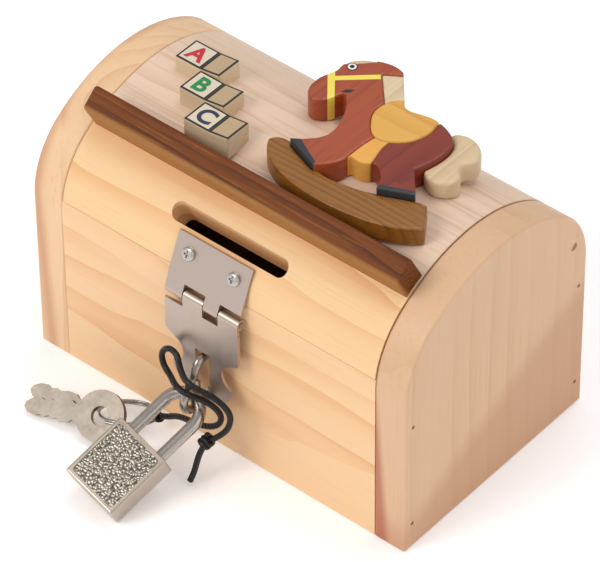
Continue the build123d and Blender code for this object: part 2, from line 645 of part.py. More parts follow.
for name, turn, level in (("key_1", radians(4.5), -0.18), ("key_2", radians(-7.5), -KEY_T - 0.22)):
    fanned = Plane(
        origin=bow + key_plane.z_dir * level,
        x_dir=key_plane.x_dir * cos(turn) + key_plane.y_dir * sin(turn),
        z_dir=key_plane.z_dir,
    )
    with BuildPart() as key:
        with BuildSketch(fanned):
            add(key_outline.sketch)
        extrude(amount=KEY_T)
    save(key, name)

ring_along = Vector(0.473, 0.861, -0.2).normalized()
ring_across = Vector(0.809, -0.444, 0.342)
ring_plane = Plane(origin=bow + ring_along * RING_R, x_dir=ring_along, z_dir=ring_along.cross(ring_across))
with BuildPart() as key_ring:
    with Locations(ring_plane):
        Torus(RING_R, RING_WIRE_R)
save(key_ring, "key_ring")

HITCH_R = 1.9
HITCH_TURN = radians(35)  # place of the hitch round the ring, from its far side
hitch = ring_plane.from_local_coords(Vector(RING_R * cos(HITCH_TURN), RING_R * sin(HITCH_TURN), 0))
with BuildPart() as ring_hitch:
    with Locations(hitch):
        Sphere(HITCH_R)
save(ring_hitch, "ring_hitch")

# ---------------------------------------------------------------- waxed cord
KNOT = Vector(7.0, -57.4, 15.0)
KNOT_R = 2.5
cord_points = [
    (-17.4, -51.4, 6.3), (-14.6, -51.2, 7.6), (-11.4, -51.2, 10.0), (-6.6, -52.0, 12.4),
    (-1.0, -53.0, 14.4), (4.4, -53.4, 16.6), (8.8, -53.0, 20.2), (9.4, -53.0, 25.2),
    (5.2, -54.8, 29.2), (-0.4, -58.4, 31.6), (-5.6, -57.4, 31.4), (-10.6, -54.0, 30.2),
    (-14.6, -52.8, 31.8), (-15.4, -52.5, 36.2), (-12.4, -52.5, 40.0), (-8.6, -52.7, 39.6),
    (-5.6, -55.0, 36.8), (-1.0, -57.4, 35.4), (4.2, -56.0, 33.8), (9.4, -54.0, 31.4),
    (13.4, -53.0, 27.2), (13.2, -54.0, 22.0), (10.6, -55.4, 18.2), (8.0, -56.8, 15.9),
]
tail_points = [
    (6.7, -58.2, 14.2), (6.1, -60.2, 11.2), (5.8, -61.4, 7.4), (5.6, -62.4, 4.2), (5.0, -63.6, 1.4),
]


def corner_radii(points):
    """Bend radius of each corner: 0.45 of its shorter run over the tangent of half the turn."""
    spots = [Vector(*point) for point in points]
    radii = []
    for before, here, after in zip(spots, spots[1:], spots[2:]):
        first, second = here - before, after - here
        turn = first.get_angle(second)
        shorter = min(first.length, second.length)
        radii.append(0.45 * shorter / tan(radians(turn / 2)))
    return radii


for name, points in (("key_cord", cord_points), ("cord_tail", tail_points)):
    with BuildPart() as cord:
        with BuildLine():
            route = FilletPolyline(*points, radius=corner_radii(points))
        with BuildSketch(Plane(origin=route @ 0, z_dir=route % 0)):
            Circle(CORD_R)
        sweep()
    save(cord, name)
    print(name, "length", round(route.length, 1))
    print(name, "bends", [round(radius, 1) for radius in corner_radii(points)])
    print(name, "volume", round(cord.part.volume, 1), "expected", round(route.length * pi * CORD_R**2, 1))

with BuildPart() as cord_knot:
    with Locations(KNOT):
        Sphere(KNOT_R)
save(cord_knot, "cord_knot")
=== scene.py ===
"""Looks of the wooden money box: its woods, metals, paint and waxed cord, a plain floor and soft light.

Everything is in metres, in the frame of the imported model.
"""

import json
import logging
from dataclasses import dataclass
from enum import Enum
from math import cos, pi, radians, sin
from typing import Any

import bpy
from mathutils import Euler, Matrix, Vector


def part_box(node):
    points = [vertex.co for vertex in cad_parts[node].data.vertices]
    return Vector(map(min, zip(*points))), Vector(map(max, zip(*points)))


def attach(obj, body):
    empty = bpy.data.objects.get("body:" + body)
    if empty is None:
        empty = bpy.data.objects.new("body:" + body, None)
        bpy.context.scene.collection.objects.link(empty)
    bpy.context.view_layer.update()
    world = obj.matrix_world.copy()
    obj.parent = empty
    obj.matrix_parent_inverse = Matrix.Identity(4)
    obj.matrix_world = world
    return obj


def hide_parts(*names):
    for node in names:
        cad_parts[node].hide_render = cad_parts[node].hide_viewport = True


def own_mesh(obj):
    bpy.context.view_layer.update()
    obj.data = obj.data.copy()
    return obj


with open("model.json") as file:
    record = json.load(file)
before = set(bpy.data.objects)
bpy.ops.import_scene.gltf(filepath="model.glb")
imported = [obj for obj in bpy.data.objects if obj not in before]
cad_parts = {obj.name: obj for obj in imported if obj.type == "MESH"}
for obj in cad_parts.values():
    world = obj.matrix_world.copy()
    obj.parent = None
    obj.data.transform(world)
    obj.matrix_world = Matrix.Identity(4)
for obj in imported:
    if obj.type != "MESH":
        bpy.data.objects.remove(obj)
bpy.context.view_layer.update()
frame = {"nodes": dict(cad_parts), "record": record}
LOG = logging.getLogger("money_box")
MM = 0.001
WAVE_PERIOD = 0.314  # length over which a wave texture of scale one repeats, in metres

# ------------------------------------------------------------------ small helpers


def linear(hex_colour: str) -> tuple[float, float, float, float]:
    """Turn an sRGB hex colour into the linear values that shaders use.

    Args:
        hex_colour: six digits, with or without a hash sign.

    Returns:
        Red, green, blue and an alpha of one.
    """
    text = hex_colour.lstrip("#")
    parts = [int(text[i : i + 2], 16) / 255 for i in (0, 2, 4)]
    red, green, blue = [p / 12.92 if p <= 0.04045 else ((p + 0.055) / 1.055) ** 2.4 for p in parts]
    return red, green, blue, 1.0


def add_node(
    tree: bpy.types.NodeTree, kind: str, inputs: dict[Any, Any] | None = None, **settings: Any
) -> bpy.types.Node:
    """Add one shader node with its settings, values and links.

    Args:
        tree: the node tree that takes the node.
        kind: Blender's type name of the node, without the Shader Node prefix.
        inputs: value or output socket for each input, by name or number.
        settings: properties of the node itself.

    Returns:
        The new node.
    """
    node = tree.nodes.new("ShaderNode" + kind)
    for name, value in settings.items():
        setattr(node, name, value)
    for name, value in (inputs or {}).items():
        if isinstance(value, bpy.types.NodeSocket):
            tree.links.new(value, node.inputs[name])
        else:
            node.inputs[name].default_value = value
    return node


def blend(tree: bpy.types.NodeTree, factor: Any, first: Any, second: Any) -> bpy.types.NodeSocket:
    """Mix two colours.

    Args:
        tree: the node tree.
        factor: share of the second colour, a number or a socket.
        first: colour at a factor of nought.
        second: colour at a factor of one.

    Returns:
        The mixed colour's socket.
    """
    return add_node(tree, "Mix", {0: factor, 6: first, 7: second}, data_type="RGBA").outputs[2]


def ramp(tree: bpy.types.NodeTree, value: Any, low: float, high: float) -> bpy.types.NodeSocket:
    """Smoothly raise a value from nought at low to one at high.

    Args:
        tree: the node tree.
        value: the socket to read.
        low: input that gives nought.
        high: input that gives one.

    Returns:
        The eased value's socket.
    """
    limits = {"Value": value, "From Min": low, "From Max": high}
    return add_node(tree, "MapRange", limits, interpolation_type="SMOOTHSTEP").outputs["Result"]


def new_material(name: str) -> tuple[bpy.types.Material, bpy.types.NodeTree]:
    """Make an empty node material.

    Args:
        name: the material's name.

    Returns:
        The material and its empty node tree.
    """
    material = bpy.data.materials.new(name)
    material.use_nodes = True
    material.node_tree.nodes.clear()
    return material, material.node_tree


def finish_surface(tree: bpy.types.NodeTree, inputs: dict[Any, Any]) -> None:
    """Send a Principled shader with these inputs to the material's output.

    Args:
        tree: the material's node tree.
        inputs: value or socket for each input of the shader.
    """
    shader = add_node(tree, "BsdfPrincipled", inputs)
    add_node(tree, "OutputMaterial", {"Surface": shader.outputs["BSDF"]})


def deselect() -> None:
    """Leave edit mode if it is on, and deselect everything."""
    if bpy.context.object and bpy.context.object.mode != "OBJECT":
        bpy.ops.object.mode_set(mode="OBJECT")
    bpy.ops.object.select_all(action="DESELECT")


def activate(piece: bpy.types.Object) -> None:
    """Select one piece alone and make it active."""
    deselect()
    piece.select_set(True)
    bpy.context.view_layer.objects.active = piece


def apply_modifier(piece: bpy.types.Object, kind: str, **settings: Any) -> None:
    """Add a modifier with its settings and apply it.

    Args:
        piece: the object to change.
        kind: Blender's modifier type.
        settings: properties of the modifier.
    """
    activate(piece)
    modifier = piece.modifiers.new(kind.title(), kind)
    for name, value in settings.items():
        setattr(modifier, name, value)
    bpy.ops.object.modifier_apply(modifier=modifier.name)


def dress(node: str, material: bpy.types.Material) -> None:
    """Give a carried-over part a material.

    Args:
        node: the part's name.
        material: what it is dressed in.
    """
    part = frame["nodes"][node]
    if not part.material_slots:
        part.data.materials.append(material)
    for holder in part.material_slots:
        holder.material = material


def body_of(node: str) -> str:
    """Name of the body that a part moves with."""
    bodies = frame["record"]["behaviour"]["bodies"]
    return next(name for name, nodes in bodies.items() if node in nodes)


def stand_for(piece: bpy.types.Object, *nodes: str) -> None:
    """Let a piece replace parts and ride on their body.

    Args:
        piece: the new piece.
        nodes: the parts that it replaces.
    """
    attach(piece, body_of(nodes[0]))
    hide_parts(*nodes)
    LOG.info("%s stands for %s", piece.name, ", ".join(nodes))


def copied_mesh(node: str, name: str) -> bpy.types.Object:
    """Copy a part's mesh into a new object and merge its loose triangles.

    Args:
        node: the part to copy.
        name: the new object's name.

    Returns:
        The new object.
    """
    source = frame["nodes"][node]
    mesh = source.data.copy()
    mesh.transform(source.matrix_world)
    mesh.materials.clear()
    piece = bpy.data.objects.new(name, mesh)
    bpy.context.scene.collection.objects.link(piece)
    activate(piece)
    bpy.ops.object.mode_set(mode="EDIT")
    bpy.ops.mesh.select_all(action="SELECT")
    bpy.ops.mesh.remove_doubles(threshold=0.002 * MM)
    bpy.ops.mesh.normals_make_consistent(inside=False)
    bpy.ops.object.mode_set(mode="OBJECT")
    return piece


def sanded_copy(node: str, name: str, grit: float, passes: int) -> bpy.types.Object:
    """Copy a part and round all its edges as sanding by hand does.

    Args:
        node: the part to copy.
        name: the new piece's name.
        grit: size of the mesh's cells, in metres.
        passes: how often the surface is smoothed.

    Returns:
        The rounded piece, which stands for the part.
    """
    piece = copied_mesh(node, name)
    apply_modifier(piece, "REMESH", mode="VOXEL", voxel_size=grit, adaptivity=0.0)
    apply_modifier(piece, "SMOOTH", factor=0.5, iterations=passes)
    bpy.ops.object.shade_smooth()
    stand_for(piece, node)
    return piece


# ------------------------------------------------------------------ finishes


class Along(Enum):
    """Which way a piece of wood's grain runs."""

    X = "X"
    Y = "Y"
    Z = "Z"


class Ground(Enum):
    """Where a painted marking lies on a piece."""

    OUTLINE = "outline"
    FILL = "fill"


@dataclass(frozen=True)
class HeartBand:
    """A darker stretch of heartwood between two planes.

    Attributes:
        colour: sRGB hex colour of the heartwood.
        direction: normal of the planes.
        centre: distance of the middle plane from the origin, in metres.
        half_width: half the distance between the planes, in metres.
        softness: width over which it fades, in metres.
        strength: how much of its colour shows.
    """

    colour: str
    direction: tuple[float, float, float]
    centre: float
    half_width: float
    softness: float = 0.002
    strength: float = 0.8


@dataclass(frozen=True)
class Marking:
    """A painted shape with straight edges, seen from above.

    Attributes:
        colour: sRGB hex colour of the paint.
        corners: its corners in millimetres, anticlockwise.
        ground: whether the shape is filled or only outlined.
        line: width of the outline, in metres.
        above: lowest height that takes paint, in metres.
    """

    colour: str
    corners: tuple[tuple[float, float], ...]
    ground: Ground = Ground.FILL
    line: float = 0.0008
    above: float = 0.0


@dataclass(frozen=True)
class Timber:
    """Sanded wood with growth rings, fine pores and, where it has them, heartwood and paint.

    Attributes:
        name: the material's name.
        pale: sRGB hex colour of the early wood.
        dark: sRGB hex colour of the late wood.
        pore: sRGB hex colour of the fine streaks.
        grain: the way the grain runs.
        ring: distance between growth rings, in metres.
        heart: centre of the rings across the grain, in metres.
        waviness: how far the rings wander.
        contrast: how strongly the rings show.
        pores: how strongly the fine streaks show.
        pore_width: width of a streak, in metres, drawn coarser than real pores so that it shows.
        roughness: roughness of the sanded surface.
        coat: share of varnish or oil.
        gloss: strength of the bare wood's own reflection.
        wander: how far a ring may stray from its circle, in metres.
        bands: stretches of heartwood.
        markings: painted shapes.
    """

    name: str
    pale: str
    dark: str
    pore: str
    grain: Along = Along.X
    ring: float = 0.005
    heart: tuple[float, float, float] = (0.0, 0.02, 0.0)
    waviness: float = 1.2
    contrast: float = 0.8
    pores: float = 0.25
    pore_width: float = 0.0005
    roughness: float = 0.5
    coat: float = 0.05
    gloss: float = 0.5
    wander: float = 0.012
    bands: tuple[HeartBand, ...] = ()
    markings: tuple[Marking, ...] = ()

    def stretched(self, tree: bpy.types.NodeTree, place: Any, share: float) -> bpy.types.NodeSocket:
        """Coordinates drawn out along the grain.

        Args:
            tree: the node tree.
            place: coordinates to draw out.
            share: scale along the grain.

        Returns:
            The drawn-out coordinates.
        """
        scale = [share if axis is self.grain else 1.0 for axis in Along]
        inputs = {"Vector": place, "Location": [-c for c in self.heart], "Scale": scale}
        return add_node(tree, "Mapping", inputs).outputs["Vector"]

    def ringed(self, tree: bpy.types.NodeTree, shift: Any, drawn: Any, sway: Any) -> bpy.types.NodeSocket:
        """Colour of the growth rings, which wander slowly and fade in patches.

        Args:
            tree: the node tree.
            shift: coordinates from the heart.
            drawn: coordinates drawn out along the grain.
            sway: a slow noise colour.

        Returns:
            The colour's socket.
        """
        centred = add_node(tree, "VectorMath", {0: sway, 1: (0.5, 0.5, 0.5)}, operation="SUBTRACT").outputs[0]
        reach = [self.waviness * self.wander] * 3
        moved = add_node(
            tree, "VectorMath", {0: centred, 1: reach, 2: shift}, operation="MULTIPLY_ADD"
        ).outputs[0]
        rings = add_node(
            tree,
            "TexWave",
            {"Vector": moved, "Scale": WAVE_PERIOD / self.ring, "Distortion": 0.4, "Detail": 1.0},
            wave_type="RINGS",
            rings_direction=self.grain.value,
            wave_profile="SAW",
        ).outputs["Fac"]
        late = add_node(tree, "Math", {0: rings, 1: 2.6}, operation="POWER").outputs[0]
        broad = add_node(tree, "TexNoise", {"Vector": drawn, "Scale": 60.0, "Detail": 1.0}).outputs["Fac"]
        patch = ramp(tree, broad, 0.25, 0.7)
        patchy = add_node(tree, "Math", {0: late, 1: patch}, operation="MULTIPLY").outputs[0]
        share = add_node(tree, "Math", {0: patchy, 1: self.contrast}, operation="MULTIPLY").outputs[0]
        return blend(tree, share, linear(self.pale), linear(self.dark))

    def pored(self, tree: bpy.types.NodeTree, colour: Any, streaks: Any) -> bpy.types.NodeSocket:
        """Darken a colour along its pores.

        Args:
            tree: the node tree.
            colour: the colour so far.
            streaks: a fine noise drawn out along the grain.

        Returns:
            The new colour's socket.
        """
        dark = ramp(tree, streaks, 0.52, 0.72)
        share = add_node(tree, "Math", {0: dark, 1: self.pores}, operation="MULTIPLY").outputs[0]
        return blend(tree, share, colour, linear(self.pore))

    def build(self) -> bpy.types.Material:
        """Make the material."""
        material, tree = new_material(self.name)
        place = add_node(tree, "TexCoord").outputs["Object"]
        from_heart = {"Vector": place, "Location": [-c for c in self.heart]}
        shift = add_node(tree, "Mapping", from_heart).outputs["Vector"]
        drawn = self.stretched(tree, shift, 0.12)
        sway = add_node(
            tree, "TexNoise", {"Vector": drawn, "Scale": 45.0, "Detail": 2.0}
        ).outputs["Color"]
        fine = self.stretched(tree, shift, 0.035)
        pores = {"Vector": fine, "Scale": 0.5 / self.pore_width, "Detail": 3.0, "Roughness": 0.6}
        streaks = add_node(tree, "TexNoise", pores).outputs["Fac"]
        colour = self.pored(tree, self.ringed(tree, shift, drawn, sway), streaks)
        for band in self.bands:
            colour = blend(tree, hearted(tree, place, sway, band), colour, linear(band.colour))
        for marking in self.markings:
            colour = blend(tree, painted(tree, place, marking), colour, linear(marking.colour))
        spread = {"Value": streaks, "To Min": self.roughness - 0.06, "To Max": self.roughness + 0.1}
        bump = {"Strength": 0.25, "Distance": 0.00012, "Height": streaks}
        finish_surface(
            tree,
            {
                "Base Color": colour,
                "Roughness": add_node(tree, "MapRange", spread).outputs["Result"],
                "Normal": add_node(tree, "Bump", bump).outputs["Normal"],
                "Specular IOR Level": self.gloss,
                "Coat Weight": self.coat,
                "Coat Roughness": 0.3,
            },
        )
        return material


def hearted(tree: bpy.types.NodeTree, place: Any, sway: Any, band: HeartBand) -> bpy.types.NodeSocket:
    """Share of heartwood at each point of a band, whose edges wander by a few millimetres.

    Args:
        tree: the node tree.
        place: object coordinates.
        sway: a slow noise colour.
        band: the stretch of heartwood.

    Returns:
        The band's strength inside it, nought elsewhere.
    """
    wander = (0.006, 0.006, 0.006)
    moved = add_node(
        tree, "VectorMath", {0: sway, 1: wander, 2: place}, operation="MULTIPLY_ADD"
    ).outputs[0]
    along = add_node(tree, "VectorMath", {0: moved, 1: band.direction}, operation="DOT_PRODUCT")
    off = add_node(
        tree, "Math", {0: along.outputs["Value"], 1: band.centre}, operation="SUBTRACT"
    ).outputs[0]
    distance = add_node(tree, "Math", {0: off}, operation="ABSOLUTE").outputs[0]
    inside = ramp(tree, distance, band.half_width + band.softness, band.half_width - band.softness)
    return add_node(tree, "Math", {0: inside, 1: band.strength}, operation="MULTIPLY").outputs[0]


def painted(tree: bpy.types.NodeTree, place: Any, marking: Marking) -> bpy.types.NodeSocket:
    """Share of paint at each point of a marking.

    Args:
        tree: the node tree.
        place: object coordinates.
        marking: the painted shape.

    Returns:
        One where the paint is, nought elsewhere.
    """
    nearest = None
    corners = [Vector((x * MM, y * MM)) for x, y in marking.corners]
    for here, there in zip(corners, corners[1:] + corners[:1]):
        side = (there - here).normalized()
        inward = Vector((-side.y, side.x, 0.0))
        reach = add_node(tree, "VectorMath", {0: place, 1: inward}, operation="DOT_PRODUCT").outputs["Value"]
        depth = add_node(
            tree, "Math", {0: reach, 1: inward.x * here.x + inward.y * here.y}, operation="SUBTRACT"
        ).outputs[0]
        if nearest is None:
            nearest = depth
        else:
            nearest = add_node(tree, "Math", {0: nearest, 1: depth}, operation="MINIMUM").outputs[0]
    edge = 0.08 * MM
    share = ramp(tree, nearest, -edge, edge)
    if marking.ground is Ground.OUTLINE:
        hollow = ramp(tree, nearest, marking.line + edge, marking.line - edge)
        share = add_node(tree, "Math", {0: share, 1: hollow}, operation="MULTIPLY").outputs[0]
    if marking.above > 0:
        height = add_node(tree, "SeparateXYZ", {0: place}).outputs["Z"]
        high = ramp(tree, height, marking.above - edge, marking.above + edge)
        share = add_node(tree, "Math", {0: share, 1: high}, operation="MULTIPLY").outputs[0]
    return share


class Surface(Enum):
    """How a metal's surface was made."""

    POLISHED = "polished"
    BRUSHED = "brushed"
    PEBBLED = "pebbled"


@dataclass(frozen=True)
class Metal:
    """Plated or bare metal.

    Attributes:
        name: the material's name.
        colour: sRGB hex colour of its reflection.
        roughness: roughness of the surface.
        surface: how the surface was made.
        grain: size of its pattern, in metres, drawn coarser than real scratches so that it shows.
        gap_shade: sRGB hex colour of the painted shade between pebbles.
    """

    name: str
    colour: str
    roughness: float
    surface: Surface = Surface.BRUSHED
    grain: float = 0.0004
    # colour of the painted shade between pebbles
    gap_shade: str = "#5E5A52"

    def build(self) -> bpy.types.Material:
        """Make the material."""
        material, tree = new_material(self.name)
        place = add_node(tree, "TexCoord").outputs["Object"]
        make = self.pebbled if self.surface is Surface.PEBBLED else self.rolled
        finish_surface(tree, {"Metallic": 1.0, **make(tree, place)})
        return material

    def pebbled(self, tree: bpy.types.NodeTree, place: Any) -> dict[str, Any]:
        """Inputs of a cast surface of small round pebbles, with painted shade in the gaps between them.

        Args:
            tree: the node tree.
            place: object coordinates.

        Returns:
            Value or socket for each of the shader's inputs.
        """
        cells = add_node(
            tree, "TexVoronoi", {"Vector": place, "Scale": 1 / self.grain}, feature="SMOOTH_F1"
        ).outputs["Distance"]
        # The colour darkens into the gaps between pebbles: painted shade.
        height = ramp(tree, cells, 0.15, 0.75)
        bump = {"Strength": 0.7, "Distance": 0.00018, "Height": height}
        return {
            "Base Color": blend(tree, height, linear(self.colour), linear(self.gap_shade)),
            "Roughness": self.roughness,
            "Normal": add_node(tree, "Bump", bump, invert=True).outputs["Normal"],
        }

    def rolled(self, tree: bpy.types.NodeTree, place: Any) -> dict[str, Any]:
        """Inputs of a plain surface with fine scratches and cloudy gloss.

        Args:
            tree: the node tree.
            place: object coordinates.

        Returns:
            Value or socket for each of the shader's inputs.
        """
        stretch = (1.0, 1.0, 0.08) if self.surface is Surface.BRUSHED else (1.0, 1.0, 1.0)
        drawn = add_node(tree, "Mapping", {"Vector": place, "Scale": stretch}).outputs["Vector"]
        scratches = {"Vector": drawn, "Scale": 0.5 / self.grain, "Detail": 2.0}
        noise = add_node(tree, "TexNoise", scratches).outputs["Fac"]
        cloud = add_node(tree, "TexNoise", {"Vector": place, "Scale": 180.0, "Detail": 1.0}).outputs["Fac"]
        spread = add_node(
            tree, "Math", {0: noise, 1: 0.12, 2: self.roughness - 0.06}, operation="MULTIPLY_ADD"
        ).outputs[0]
        rough = add_node(tree, "Math", {0: cloud, 1: 0.16, 2: spread}, operation="MULTIPLY_ADD")
        bump = {"Strength": 0.12, "Distance": 0.00003, "Height": noise}
        return {
            "Base Color": linear(self.colour),
            "Roughness": rough.outputs[0],
            "Normal": add_node(tree, "Bump", bump).outputs["Normal"],
        }


@dataclass(frozen=True)
class WaxedCotton:
    """Black waxed cotton: a tight lay with a dull sheen, and painted shade in the grooves between strands.

    Attributes:
        name: the material's name.
        groove_shade: sRGB hex colour of the painted shade between the strands.
        ridge: sRGB hex colour of the strands.
        pitch: length of one lay, in metres.
    """

    name: str = "waxed_cotton_cord"
    # colour of the painted shade between strands
    groove_shade: str = "#060404"
    ridge: str = "#17110F"
    pitch: float = 0.0011

    def build(self) -> bpy.types.Material:
        """Make the material."""
        material, tree = new_material(self.name)
        place = add_node(tree, "TexCoord").outputs["Object"]
        # The lay darkens the colour towards the grooves between strands: painted shade.
        lay = add_node(
            tree,
            "TexWave",
            {"Vector": place, "Scale": WAVE_PERIOD / self.pitch, "Distortion": 1.5, "Detail": 1.0},
            bands_direction="DIAGONAL",
        ).outputs["Fac"]
        bump = {"Strength": 0.5, "Distance": 0.0002, "Height": lay}
        finish_surface(
            tree,
            {
                "Base Color": blend(tree, lay, linear(self.groove_shade), linear(self.ridge)),
                "Roughness": 0.45,
                "Normal": add_node(tree, "Bump", bump).outputs["Normal"],
                "Specular IOR Level": 0.4,
            },
        )
        return material


@dataclass(frozen=True)
class Enamel:
    """Brushed-on hobby paint, slightly glossy with faint strokes.

    Attributes:
        name: the material's name.
        colour: sRGB hex colour of the paint.
    """

    name: str
    colour: str

    def build(self) -> bpy.types.Material:
        """Make the material."""
        material, tree = new_material(self.name)
        place = add_node(tree, "TexCoord").outputs["Object"]
        strokes = add_node(tree, "TexNoise", {"Vector": place, "Scale": 900.0, "Detail": 2.0}).outputs["Fac"]
        black = (0.0, 0.0, 0.0, 1.0)
        uneven = blend(tree, ramp(tree, strokes, 0.3, 0.8), linear(self.colour), black)
        bump = {"Strength": 0.2, "Distance": 0.00005, "Height": strokes}
        finish_surface(
            tree,
            {
                "Base Color": blend(tree, 0.12, linear(self.colour), uneven),
                "Roughness": 0.4,
                "Normal": add_node(tree, "Bump", bump).outputs["Normal"],
            },
        )
        return material


# ------------------------------------------------------------------ studio


@dataclass
class Studio:
    """Camera, floor and soft light.

    Attributes:
        lens: focal length on a 36 mm wide sensor, in millimetres.
        target: the point that the camera looks at.
        distance: from the camera to that point.
        azimuth: turn of the camera round the box, in degrees.
        elevation: height of the camera above the horizon, in degrees.
        roll: tilt about the line of sight, in degrees.
    """

    lens: float = 285.2
    target: tuple[float, float, float] = (-0.00356, 0.0, 0.03551)
    distance: float = 1.49235
    azimuth: float = 40.492
    elevation: float = 42.756
    roll: float = -0.601

    def camera(self) -> None:
        """Set up the camera."""
        data = bpy.data.cameras.new("camera")
        data.lens = self.lens
        data.sensor_width = 36.0
        data.clip_start, data.clip_end = 0.05, 20.0
        holder = bpy.data.objects.new("camera", data)
        bpy.context.scene.collection.objects.link(holder)
        turn = Euler((radians(90 - self.elevation), 0.0, radians(self.azimuth))).to_matrix().to_4x4()
        turn = turn @ Matrix.Rotation(radians(self.roll), 4, "Z")
        back = turn.to_3x3() @ Vector((0.0, 0.0, 1.0))
        holder.matrix_world = Matrix.Translation(Vector(self.target) + back * self.distance) @ turn
        bpy.context.scene.camera = holder

    def floor(self) -> None:
        """Lay a plain pale floor."""
        deselect()
        bpy.ops.mesh.primitive_plane_add(size=6.0, location=(0.0, 0.0, -0.0002))
        ground = bpy.context.object
        ground.name = "floor"
        material, tree = new_material("pale_floor")
        pale = linear("#FBFBFD")
        finish_surface(
            tree, {"Base Color": pale, "Roughness": 0.9, "Emission Color": pale, "Emission Strength": 0.22}
        )
        ground.data.materials.append(material)

    def area(
        self, name: str, place: tuple[float, float, float], size: float, watts: float, tint: str
    ) -> None:
        """Hang one soft light that faces the box.

        Args:
            name: the light's name.
            place: where it hangs.
            size: its width.
            watts: its power.
            tint: sRGB hex colour.
        """
        data = bpy.data.lights.new(name, "AREA")
        data.shape, data.size, data.energy = "DISK", size, watts
        data.color = linear(tint)[:3]
        lamp = bpy.data.objects.new(name, data)
        lamp.location = place
        lamp.rotation_euler = (Vector(place) - Vector((0.0, 0.0, 0.05))).to_track_quat("Z", "Y").to_euler()
        bpy.context.scene.collection.objects.link(lamp)

    def build(self) -> None:
        """Set up everything in the studio."""
        self.camera()
        self.floor()
        self.area("key_light", (-0.45, -1.1, 1.1), 0.8, 10.4, "#FFF8F0")
        self.area("fill_light", (1.2, -0.1, 0.7), 1.0, 2.4, "#FFFFFF")
        self.area("top_light", (0.1, 0.5, 1.5), 1.0, 6.2, "#FFFFFF")
        world = bpy.data.worlds.new("studio")
        world.use_nodes = True
        world.node_tree.nodes["Background"].inputs["Color"].default_value = (1.0, 1.0, 1.0, 1.0)
        world.node_tree.nodes["Background"].inputs["Strength"].default_value = 0.52
        bpy.context.scene.world = world
        bpy.context.scene.view_settings.view_transform = "Standard"


# ------------------------------------------------------------------ cord, ring and keys


